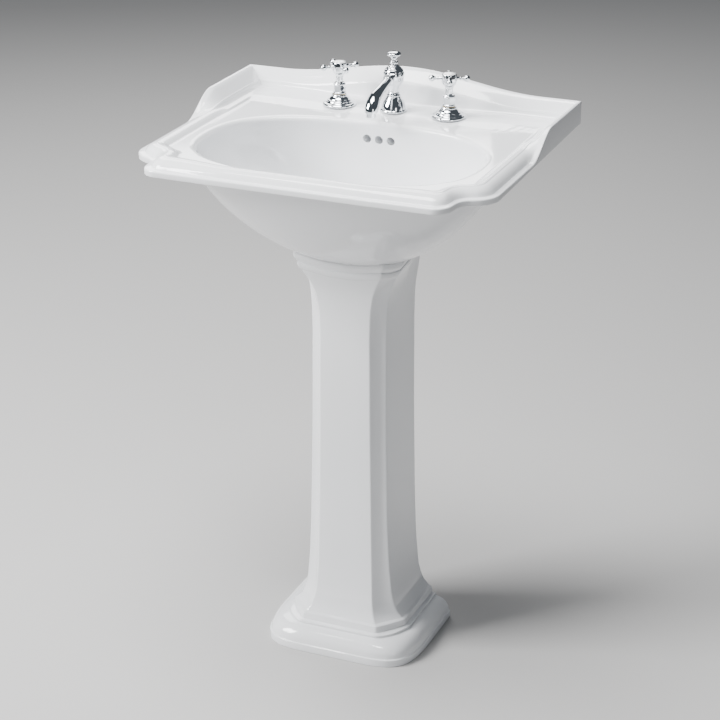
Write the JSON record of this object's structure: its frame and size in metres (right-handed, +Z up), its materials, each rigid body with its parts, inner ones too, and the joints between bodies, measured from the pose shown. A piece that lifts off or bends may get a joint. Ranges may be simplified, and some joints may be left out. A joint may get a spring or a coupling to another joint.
{
  "type": "pedestal sink",
  "caption": "Vitreous china basin with a moulded rim and serpentine upstand on a faceted pedestal, with a cross-handle tap set, spout, pop-up waste and bottle trap.",
  "frame": {"origin": "on the floor, at the centre of the footprint of the basin", "axes": "+X to the right as the user sees it, +Y towards the wall behind, +Z up"},
  "size_m": [0.6, 0.502, 0.997],
  "materials": {
    "china": "gloss",
    "chrome": "polished",
    "brass": "satin",
    "copper": "satin",
    "rubber": "matte",
    "zinc_steel": "satin",
    "nylon": "matte",
    "porcelain": "gloss"
  },
  "bodies": {
    "fixed": {"basin": "china", "pedestal": "china", "hot_flange": "chrome", "hot_headwork": "chrome", "cold_flange": "chrome", "cold_headwork": "chrome", "spout_body": "chrome", "spout_arm": "chrome", "spout_nozzle": "chrome", "waste_body": "chrome", "pivot_nut": "chrome", "trap_body": "chrome", "trap_inlet_nut": "chrome", "trap_cup": "chrome", "outlet_pipe": "chrome", "outlet_nut": "chrome", "hot_valve_body": "brass", "hot_backnut": "brass", "hot_union_nut": "brass", "cold_valve_body": "brass", "cold_backnut": "brass", "cold_union_nut": "brass", "spout_backnut": "brass", "waste_backnut": "brass", "hot_tail": "copper", "hot_link_tube": "copper", "cold_tail": "copper", "cold_link_tube": "copper", "hot_washer": "rubber", "cold_washer": "rubber", "spout_washer": "rubber", "waste_washer": "rubber", "wall_stud_left": "zinc_steel", "wall_nut_left": "zinc_steel", "floor_screw_left": "zinc_steel", "wall_stud_right": "zinc_steel", "wall_nut_right": "zinc_steel", "floor_screw_right": "zinc_steel", "wall_washer_left": "nylon", "floor_washer_left": "nylon", "wall_washer_right": "nylon", "floor_washer_right": "nylon"},
    "hot_handle_set": {"hot_handle": "chrome", "hot_spindle": "chrome", "hot_handle_screw": "zinc_steel", "hot_index": "porcelain"},
    "cold_handle_set": {"cold_handle": "chrome", "cold_spindle": "chrome", "cold_handle_screw": "zinc_steel", "cold_index": "porcelain"},
    "popup_lift": {"popup_knob": "chrome", "lift_rod": "chrome", "lift_strap": "zinc_steel", "lift_screw": "chrome"},
    "pivot": {"pivot_rod": "zinc_steel"},
    "waste_plug": {"plug": "chrome", "plug_seal": "rubber"}
  },
  "joints": [
    {"name": "hot_handle_turn", "type": "hinge", "parent": "fixed", "child": "hot_handle_set", "pos_m": [-0.0975, 0.174, 0.962], "axis": [0, 0, 1], "range_deg": [0, 90]},
    {"name": "cold_handle_turn", "type": "hinge", "parent": "fixed", "child": "cold_handle_set", "pos_m": [0.0975, 0.174, 0.962], "axis": [0, 0, 1], "range_deg": [-90, 0]},
    {"name": "popup_slide", "type": "slide", "parent": "fixed", "child": "popup_lift", "axis": [0, 0, 1], "range_m": [0, 0.032]},
    {"name": "pivot_tilt", "type": "hinge", "parent": "fixed", "child": "pivot", "pos_m": [0, 0.034, 0.635], "axis": [1, 0, 0], "range_deg": [0, 13.2]},
    {"name": "plug_slide", "type": "slide", "parent": "fixed", "child": "waste_plug", "axis": [0, 0, 1], "range_m": [-0.0067, 0]}
  ],
  "couplings": [
    {"joint": "pivot_tilt", "follows": "popup_slide", "rad_per_m": 7.1585},
    {"joint": "plug_slide", "follows": "popup_slide", "ratio": -0.20714}
  ]
}
